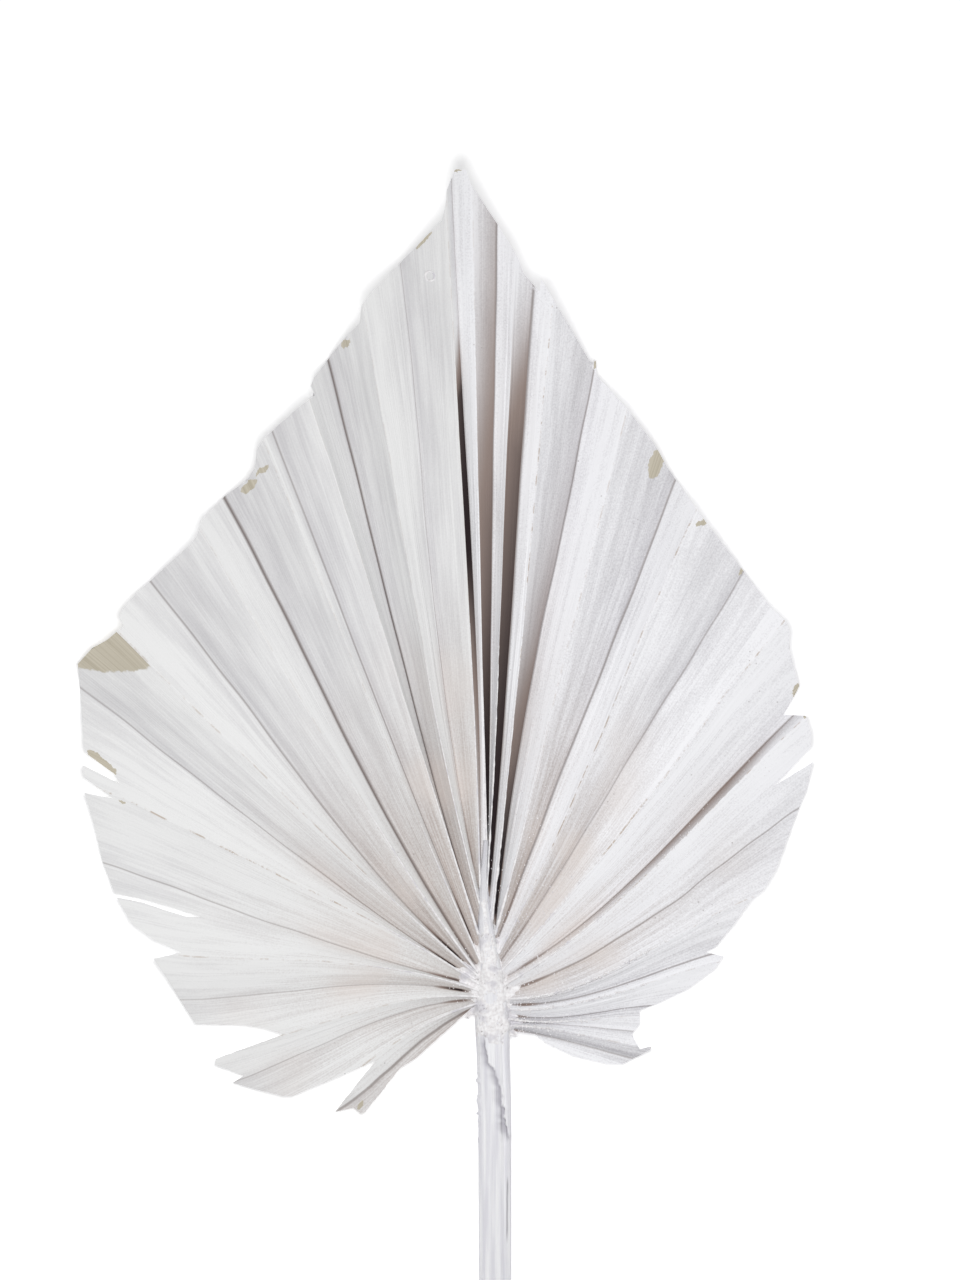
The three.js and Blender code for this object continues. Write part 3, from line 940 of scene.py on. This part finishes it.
turn = np.linspace(0, 2 * np.pi, RING_STEPS[0], endpoint=False)[:, None]
lean = np.linspace(0, 2 * np.pi, RING_STEPS[1], endpoint=False)[None, :]
distance = RING_RADIUS + RING_THICK * np.cos(lean)
ring_up = RING_THICK * np.sin(lean) + 0 * turn
ring_local = np.stack([distance * np.cos(turn), RING_SQUASH * distance * np.sin(turn), ring_up], axis=2)
ring_local = ring_local.reshape(-1, 3)
ring_points = np.array(spot) / MM - HUB + ring_local @ axes_on(spot_normal)
ring_grid = len(bead_points) * len(ball_points) + np.arange(len(ring_local)).reshape(RING_STEPS)
ahead = np.roll(ring_grid, -1, axis=0)
ring_faces = quads(ring_grid, ahead, np.roll(ahead, -1, axis=1), np.roll(ring_grid, -1, axis=1)).tolist()
beads = add_smooth("paint_beads", np.concatenate(bead_points + [ring_points]), bead_faces + ring_faces)
print("beads:", len(bead_points), "and one ring")

# %% [markdown]
# Materials come next. The small helpers below make nodes in one line each: `add` sets sockets or links
# them, `times`, `plus`, `swing` and `span` do arithmetic, `blend` mixes two colours, and `finish_paint`
# links a finished coat to its shader. They keep the materials short to read.

# %% Node helpers
MATTE_GLOSS = 0.25


def fill(tree, node, inputs):
    for name, value in inputs.items():
        if isinstance(value, bpy.types.NodeSocket):
            tree.links.new(value, node.inputs[name])
        else:
            node.inputs[name].default_value = value
    return node


def add(tree, kind, inputs=None, **settings):
    node = tree.nodes.new("ShaderNode" + kind)
    for name, value in settings.items():
        setattr(node, name, value)
    return fill(tree, node, inputs or {})


def maths(tree, operation, first, second=0.0, third=0.0, clamp=False):
    sockets = {0: first, 1: second, 2: third}
    return add(tree, "Math", sockets, operation=operation, use_clamp=clamp).outputs[0]


def times(tree, first, second):
    return maths(tree, "MULTIPLY", first, second)


def plus(tree, first, second):
    return maths(tree, "ADD", first, second)


def swing(tree, value, amount):
    return times(tree, maths(tree, "SUBTRACT", value, 0.5), amount)


def vector_maths(tree, operation, first, second):
    sockets = {0: first, "Scale" if operation == "SCALE" else 1: second}
    return add(tree, "VectorMath", sockets, operation=operation).outputs[0]


def span(tree, value, low, high, to_low=0.0, to_high=1.0):
    sockets = {"Value": value, "From Min": low, "From Max": high, "To Min": to_low, "To Max": to_high}
    return add(tree, "MapRange", sockets, interpolation_type="SMOOTHSTEP").outputs[0]


def blend(tree, share, first, second):
    return add(tree, "Mix", {0: share, 6: first, 7: second}, data_type="RGBA").outputs[2]


def mottle(tree, place, scale, detail, roughness=0.5):
    sockets = {"Vector": place, "Scale": scale, "Detail": detail, "Roughness": roughness}
    return add(tree, "TexNoise", sockets).outputs


def axes(tree, vector):
    return add(tree, "SeparateXYZ", {0: vector}).outputs


def stored(tree, name):
    return add(tree, "Attribute", attribute_name=name).outputs["Vector"]


def srgb(red, green, blue):
    def linear(value):
        value /= 255
        return value / 12.92 if value <= 0.04045 else ((value + 0.055) / 1.055) ** 2.4

    return (linear(red), linear(green), linear(blue), 1.0)


print("white of the paint, linear:", [round(v, 3) for v in srgb(240, 238, 238)])

# %% [markdown]
# Groups and materials have helpers of their own. A coat of paint always ends alike: a matte shader whose
# roughness follows the tooth of the paint, and a fine relief, given in mm.

# %% Helpers for groups and materials
def new_group(name, inputs, outputs):
    tree = bpy.data.node_groups.new(name, "ShaderNodeTree")
    for label, kind in inputs:
        tree.interface.new_socket(label, in_out="INPUT", socket_type="NodeSocket" + kind)
    for label, kind in outputs:
        tree.interface.new_socket(label, in_out="OUTPUT", socket_type="NodeSocket" + kind)
    return tree, tree.nodes.new("NodeGroupInput").outputs, tree.nodes.new("NodeGroupOutput").inputs


def place_group(tree, group, inputs):
    return add(tree, "Group", inputs, node_tree=group).outputs


def new_material(name):
    material = bpy.data.materials.new(name)
    material.use_nodes = True
    shader = next(n for n in material.node_tree.nodes if n.type == "BSDF_PRINCIPLED")
    return material, material.node_tree, shader


def finish_paint(tree, shader, colour, tooth, rough, height, strength, depth):
    bump = add(tree, "Bump", {"Strength": strength, "Distance": depth * MM, "Height": height})
    fill(tree, shader, {
        "Base Color": colour,
        "Roughness": span(tree, tooth, 0.2, 0.8, *rough),
        "Specular IOR Level": MATTE_GLOSS,
        "Normal": bump.outputs[0],
    })


print("gloss of every coat:", MATTE_GLOSS)

# %% [markdown]
# Blade and stalk share the same grain: broad pale streaks and fine veins, both long and narrow along the
# leaf. It is one node group, read from the lay that the meshes carry, so veins follow every bend. A second
# group makes the sprayed paint's own texture: a fine tooth, and now and then a dark pinhole.

# %% Groups for grain and sprayed paint
# For each kind of line its pitch across, its stretch along the leaf and its detail
GRAIN_LINES = {"Streak": (0.16, 0.045, 3.0), "Vein": (1.0, 0.02, 2.0)}
UPPER_SHIFT = 3.0
PINHOLES_TO_TOOTH = 0.16
PATCHES_PER_M = 90.0
grain, grain_in, grain_out = new_group(
    "lengthwise_grain", [("Lay", "Vector"), ("Veins per mm", "Float")],
    [("Streak", "Float"), ("Vein", "Float")])
lay_across, lay_along, lay_upper = axes(grain, grain_in["Lay"])
fine = times(grain, lay_across, grain_in["Veins per mm"])
for label, (pitch, stretch, detail) in GRAIN_LINES.items():
    place = add(grain, "CombineXYZ", {
        0: times(grain, fine, pitch),
        1: times(grain, lay_along, stretch),
        2: times(grain, lay_upper, UPPER_SHIFT),
    }).outputs[0]
    lines = mottle(grain, place, 1.0, detail)
    grain.links.new(span(grain, lines[0], 0.3, 0.7), grain_out[label])

spray, spray_in, spray_out = new_group(
    "sprayed_paint", [("Place", "Vector"), ("Tooth per m", "Float")],
    [("Tooth", "Float"), ("Pinhole", "Float")])
tooth = mottle(spray, spray_in["Place"], spray_in["Tooth per m"], 2.0)
spray.links.new(tooth[0], spray_out["Tooth"])
holes_per_m = times(spray, spray_in["Tooth per m"], PINHOLES_TO_TOOTH)
holes = add(spray, "TexVoronoi", {"Vector": spray_in["Place"], "Scale": holes_per_m})
pinhole = span(spray, holes.outputs["Distance"], 0.11, 0.05)
chance = span(spray, mottle(spray, spray_in["Place"], PATCHES_PER_M, 1.0)[0], 0.55, 0.68)
spray.links.new(times(spray, pinhole, chance), spray_out["Pinhole"])
print("groups:", [g.name for g in bpy.data.node_groups])

# %% [markdown]
# At the margin the paint has come off in chips and bare tan leaf shows. A chip is an ellipse in the plane
# of the leaf, given by its middle, its two half sizes in mm and its turn. The group gives a mask for one
# chip, and a noise added to the place beforehand makes its edge irregular.

# %% Group for one chip
chip, chip_in, chip_out = new_group(
    "paint_chip", [("Place mm", "Vector"), ("Middle", "Vector"), ("Half length", "Float"),
                   ("Half width", "Float"), ("Turn", "Float")], [("Chip", "Float")])
offset = vector_maths(chip, "SUBTRACT", chip_in["Place mm"], chip_in["Middle"])
turned = add(chip, "VectorRotate", {"Vector": offset, "Angle": chip_in["Turn"]}, rotation_type="Z_AXIS")
turned_x, turned_y, _ = axes(chip, turned.outputs[0])
long_share = maths(chip, "DIVIDE", turned_x, chip_in["Half length"])
wide_share = maths(chip, "DIVIDE", turned_y, chip_in["Half width"])
square = plus(chip, times(chip, long_share, long_share), times(chip, wide_share, wide_share))
chip.links.new(span(chip, maths(chip, "SQRT", square), 1.05, 0.95), chip_out["Chip"])
print("chip group sockets:", [s.name for s in chip.interface.items_tree])

# %% [markdown]
# The blade's material layers what the eye sees, from the bottom up. First the coat: white paint that turns
# grey where a strip is thin and where painted shade lies on it, with streaks, veins and the speckle of the
# spray. Near the hub the grey is warmer and a blush lies on it in patches, a little less on the lobes at
# the left and not at all on those at the right.

# %% Coat of the blade
PAINT_WHITE = srgb(237, 237, 237)
WHITE_ON_RIGHT = srgb(245, 245, 248)
THIN_AND_SHADE_COOL = srgb(187, 185, 189)
THIN_AND_SHADE_WARM = srgb(188, 177, 171)
BLUSH = srgb(224, 215, 210)
RIGHT_HALF = float(facet_start[TIP_FOLD])
# Places across the leaf between which the lobes end
LEFT_LOBES = (float(facet_start[3]), float(facet_start[6]))
RIGHT_LOBES = (float(facet_start[37]), float(facet_start[35]))
blade_paint, tree, shader = new_material("painted_blade")
own_place = add(tree, "TexCoord").outputs["Object"]
place_across, place_along, _ = axes(tree, stored(tree, "lay"))
ridge_mm, valley_mm, crease = axes(tree, stored(tree, "fold"))
# The coat's thin value holds thin paint with painted shade; its dark value is painted shadow
thin_and_shade_here, shadow_here, tip_side = axes(tree, stored(tree, "coat"))
lines = place_group(tree, grain, {"Lay": stored(tree, "lay"), "Veins per mm": 2.4})
paint = place_group(tree, spray, {"Place": own_place, "Tooth per m": 2600.0})
near_hub = span(tree, place_along, 80.0, 15.0)
on_right = span(tree, place_across, RIGHT_HALF - 1, RIGHT_HALF + 8)
speckled = maths(tree, "MAXIMUM", on_right, near_hub)
off_lobes = times(tree, span(tree, place_across, *LEFT_LOBES, 0.75), span(tree, place_across, *RIGHT_LOBES))
warm = times(tree, near_hub, off_lobes)
streak = swing(tree, lines["Streak"], 0.3)
vein = swing(tree, lines["Vein"], maths(tree, "MULTIPLY_ADD", near_hub, 0.25, 0.17))
speckle = swing(tree, paint["Tooth"], maths(tree, "MULTIPLY_ADD", speckled, 0.6, 0.25))
# Mix of thin paint and painted shade, with grain and speckle
thin_and_shade_mix = maths(tree, "ADD", plus(tree, thin_and_shade_here, streak), plus(tree, vein, speckle), clamp=True)
white = blend(tree, on_right, PAINT_WHITE, WHITE_ON_RIGHT)
colour = blend(tree, thin_and_shade_mix, white, blend(tree, warm, THIN_AND_SHADE_COOL, THIN_AND_SHADE_WARM))
where_thin_and_shaded = maths(tree, "MULTIPLY_ADD", thin_and_shade_here, 4.0, 0.15, clamp=True)
blush_patches = span(tree, mottle(tree, own_place, 55.0, 1.0)[0], 0.45, 0.7)
blushed = times(tree, blush_patches, times(tree, warm, where_thin_and_shaded))
colour = blend(tree, times(tree, blushed, 0.6), colour, BLUSH)
print("nodes in the blade's coat:", len(tree.nodes))

# %% [markdown]
# Then the lines and the painted shade: brown painted shade along the valley creases, tan wear in broken
# lines along the ridges, and painted shadow in the deep pleats, which passes through brown.

# %% Painted crease shade, wear and painted shadow in the pleats
CREASE_SHADE_AND_PINHOLE_BROWN = srgb(120, 108, 104)
WORN_TAN = srgb(178, 158, 138)
SHADOW_BROWN = srgb(150, 134, 127)
SHADOW_DARK = srgb(34, 22, 25)
crease_width = maths(tree, "MULTIPLY_ADD", times(tree, crease, crease), 0.7, 0.2)
# Painted shade along the valley creases
crease_shade = times(tree, span(tree, valley_mm, crease_width, 0.02), crease)
colour = blend(tree, times(tree, crease_shade, 0.8), colour, CREASE_SHADE_AND_PINHOLE_BROWN)
on_ridge = times(tree, span(tree, ridge_mm, 0.34, 0.08), crease)
worn_dots = span(tree, mottle(tree, own_place, 260.0, 4.0, 0.75)[0], 0.45, 0.62)
worn = times(tree, on_ridge, worn_dots)
colour = blend(tree, times(tree, worn, 0.75), colour, WORN_TAN)
# Painted shadow in the deep pleats, through brown to near black
colour = blend(tree, span(tree, shadow_here, 0.0, 0.55), colour, SHADOW_BROWN)
colour = blend(tree, span(tree, shadow_here, 0.45, 1.0), colour, SHADOW_DARK)
print("nodes with creases and wear:", len(tree.nodes))

# %% [markdown]
# Last the chips and pinholes. The large chip at the left ends at a ridge, so it is kept to the strips whose
# ridge is towards the tip. The coat is matte all over, with a relief of veins and spray too fine to model.

# %% Chips and finish of the blade
BARE_LEAF = srgb(204, 197, 181)
BARE_VEIN = srgb(184, 176, 158)
CHIP_RAGGED = 1.6
# Middle in photograph pixels, half length and width in mm, turn in degrees, and 1 where a ridge bounds it
CHIPS = [
    (656, 464, 3.2, 1.5, 75, 0), (686, 480, 0.9, 0.6, 40, 0), (701, 523, 1.3, 0.6, 20, 0),
    (114, 648, 14, 5.2, 0, 1), (101, 762, 4.2, 0.9, -40, 0), (122, 802, 0.8, 0.3, -20, 0),
    (249, 486, 2.2, 1.0, 45, 0), (262, 471, 1.8, 0.5, 40, 0), (345, 344, 1.3, 0.8, 45, 0),
    (424, 241, 2.4, 0.55, 44, 0), (596, 364, 1.2, 0.4, 70, 0), (797, 690, 1.8, 0.7, 70, 0),
    (742, 570, 1.4, 0.4, 60, 0), (360, 1107, 1.2, 0.5, 55, 0), (806, 717, 0.6, 0.4, 0, 0),
    (458, 173, 0.8, 0.22, 5, 0),
]
place_mm = vector_maths(tree, "SCALE", own_place, 1000.0)
edge_shift = vector_maths(tree, "SUBTRACT", mottle(tree, place_mm, 0.8, 2.0)["Color"], (0.5, 0.5, 0.5))
chip_place = vector_maths(tree, "ADD", place_mm, vector_maths(tree, "SCALE", edge_shift, CHIP_RAGGED))
flat_place = vector_maths(tree, "MULTIPLY", chip_place, (1.0, 1.0, 0.0))
behind_ridge = maths(tree, "GREATER_THAN", tip_side, 0.5)
chipped = None
for x, y, half_length, half_width, turn, bounded in CHIPS:
    mask = place_group(tree, chip, {
        "Place mm": flat_place, "Middle": pixel_place(x, y), "Half length": half_length,
        "Half width": half_width, "Turn": math.radians(-turn)})[0]
    if bounded:
        mask = times(tree, mask, behind_ridge)
    chipped = mask if chipped is None else maths(tree, "MAXIMUM", chipped, mask)
colour = blend(tree, chipped, colour, blend(tree, lines["Vein"], BARE_LEAF, BARE_VEIN))
pinholes = times(tree, paint["Pinhole"], times(tree, speckled, 0.4))
# Pinholes take the same brown as the painted crease shade
colour = blend(tree, pinholes, colour, CREASE_SHADE_AND_PINHOLE_BROWN)
relief_height = plus(tree, times(tree, lines["Vein"], 0.6), times(tree, paint["Tooth"], 0.5))
finish_paint(tree, shader, colour, paint["Tooth"], (0.72, 0.9), relief_height, 0.5, 0.12)
blade.data.materials.append(blade_paint)
print("chips:", len(CHIPS), "nodes in the blade's material:", len(tree.nodes))

# %% [markdown]
# The stalk wears the same paint, thicker and cooler. The torn channel is grey with painted shadow from the
# raised edge of skin, the split is grey with painted shade, and the cut end is bare straw.

# %% Material of the stalk
STALK_WHITE = srgb(248, 248, 250)
STALK_GREY = srgb(221, 220, 228)
TORN_SHADOW_GREY = srgb(176, 174, 182)
SPLIT_SHADE_GREY = srgb(128, 124, 130)
STRAW = srgb(196, 180, 150)
STRAW_VEIN = srgb(158, 138, 104)
stalk_paint, tree, shader = new_material("painted_stalk")
torn_shadow, cut, split_shade = axes(tree, stored(tree, "hollow"))
own_place = add(tree, "TexCoord").outputs["Object"]
lines = place_group(tree, grain, {"Lay": stored(tree, "lay"), "Veins per mm": 5.0})
paint = place_group(tree, spray, {"Place": own_place, "Tooth per m": 1900.0})
colour = blend(tree, times(tree, lines["Streak"], 0.75), STALK_WHITE, STALK_GREY)
# Painted shadow in the torn channel
colour = blend(tree, times(tree, torn_shadow, 0.9), colour, TORN_SHADOW_GREY)
colour = blend(tree, cut, colour, blend(tree, lines["Vein"], STRAW, STRAW_VEIN))
# Painted shade in the split
colour = blend(tree, times(tree, split_shade, 0.8), colour, SPLIT_SHADE_GREY)
relief_height = plus(tree, lines["Vein"], times(tree, paint["Tooth"], 0.8))
finish_paint(tree, shader, colour, paint["Tooth"], (0.68, 0.88), relief_height, 0.55, 0.15)
stalk.data.materials.append(stalk_paint)
print("stalk material nodes:", len(tree.nodes))

# %% [markdown]
# Knot, cords and beads are solid paint, about as white as the stalk, with greyer patches. Only the knot
# carries a value for its pits and dents, drawn as painted shade; on the other two it reads as zero, so one
# material serves all three.

# %% Material of the thick paint
THICK_WHITE = srgb(246, 245, 246)
THICK_SHADE = srgb(231, 228, 229)
THICK_GREY = srgb(208, 206, 213)
PIT_SHADE_BROWN = srgb(138, 130, 130)
thick_paint, tree, shader = new_material("thick_paint")
own_place = add(tree, "TexCoord").outputs["Object"]
paint = place_group(tree, spray, {"Place": own_place, "Tooth per m": 1500.0})
colour = blend(tree, span(tree, paint["Tooth"], 0.35, 0.65), THICK_WHITE, THICK_SHADE)
grey_patches = span(tree, mottle(tree, own_place, 320.0, 2.0)[0], 0.5, 0.7, 0.0, 0.7)
colour = blend(tree, grey_patches, colour, THICK_GREY)
# Painted shade in the pits and dents
colour = blend(tree, times(tree, axes(tree, stored(tree, "hollow"))[0], 0.75), colour, PIT_SHADE_BROWN)
finish_paint(tree, shader, colour, paint["Tooth"], (0.7, 0.9), paint["Tooth"], 0.6, 0.2)
for piece in (knot, cords, beads):
    piece.data.materials.append(thick_paint)
print("pieces in thick paint: 3")

# %% [markdown]
# The leaf lies on a plain pale floor. The camera looks straight down, so that the leaf fills the frame as
# it does in the photograph, with the stalk running out at the lower edge. A long lens from far away keeps
# the raised tip in its place.

# %% Floor and camera
FLOOR_SIDE = 6.0
FLOOR_DROP = 0.0001
FLOOR_GLOW = 0.32
FLOOR_TONES = ((0.93, 0.93, 0.935, 1), (0.96, 0.96, 0.96, 1))
CAMERA_HEIGHT = 1.6
IMAGE = (960, 1280)
LEAF_LEVEL = 0.006
half = FLOOR_SIDE / 2
corners = [(-half, -half), (half, -half), (half, half), (-half, half)]
floor_mesh = bpy.data.meshes.new("floor")
floor_mesh.from_pydata([(x, y, -FLOOR_DROP) for x, y in corners], [], [(0, 1, 2, 3)])
floor = add_object("floor", floor_mesh)
floor_paint, tree, shader = new_material("pale_floor")
cloudy = mottle(tree, add(tree, "TexCoord").outputs["Object"], 3.0, 2.0)[0]
fill(tree, shader, {
    "Base Color": blend(tree, cloudy, *FLOOR_TONES),
    "Roughness": 0.9,
    "Specular IOR Level": 0.1,
    "Emission Color": (1, 1, 1, 1),
    "Emission Strength": FLOOR_GLOW,
})
floor_mesh.materials.append(floor_paint)

lens = bpy.data.cameras.new("camera")
camera = add_object("camera", lens)
aim = pixel_place(IMAGE[0] / 2, IMAGE[1] / 2)
camera.location = (aim[0] * MM, aim[1] * MM, CAMERA_HEIGHT + LEAF_LEVEL)
lens.sensor_width = 36.0
lens.lens = lens.sensor_width * CAMERA_HEIGHT / (IMAGE[1] * UNIT * MM)
bpy.context.scene.camera = camera
print("camera over, mm:", [round(v, 2) for v in aim], "lens, mm:", round(lens.lens, 1))

# %% [markdown]
# Plain soft studio light. One broad lamp hangs over the middle of the leaf, near enough that strips leaning
# towards the middle are lit more fully than those leaning away, which is what makes the pleats read. The
# rest is an even pale surround.

# %% Light
LAMP_HEIGHT = 0.36
LAMP_SIZE = 0.13
LAMP_ASIDE = -0.008
LAMP_ALONG = 0.1
LAMP_POWER = 0.8
SURROUND = 0.4
lamp_data = bpy.data.lights.new("lamp", "AREA")
lamp_data.shape = "DISK"
lamp_data.size = LAMP_SIZE
lamp_data.energy = LAMP_POWER
lamp = add_object("lamp", lamp_data)
lamp.location = (HUB[0] * MM + LAMP_ASIDE, LAMP_ALONG, LAMP_HEIGHT)
lamp.visible_camera = False
world = bpy.data.worlds.new("surround")
world.use_nodes = True
backdrop = next(n for n in world.node_tree.nodes if n.type == "BACKGROUND")
backdrop.inputs["Color"].default_value = (1, 1, 1, 1)
backdrop.inputs["Strength"].default_value = SURROUND
bpy.context.scene.world = world
bpy.context.scene.view_settings.view_transform = "Standard"
print("lamp watts:", LAMP_POWER, "surround:", SURROUND)

# %% [markdown]
# Last, every piece is tied to the imported part. The leaf is one body, so all of it rides on `root`, and the
# part's own solid is hidden, so that these pieces show in its place.

# %% Tie to the part and finish
for piece in (blade, stalk, knot, cords, beads):
    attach(piece, "root")
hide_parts("palm_spear")
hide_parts("palm_spear")
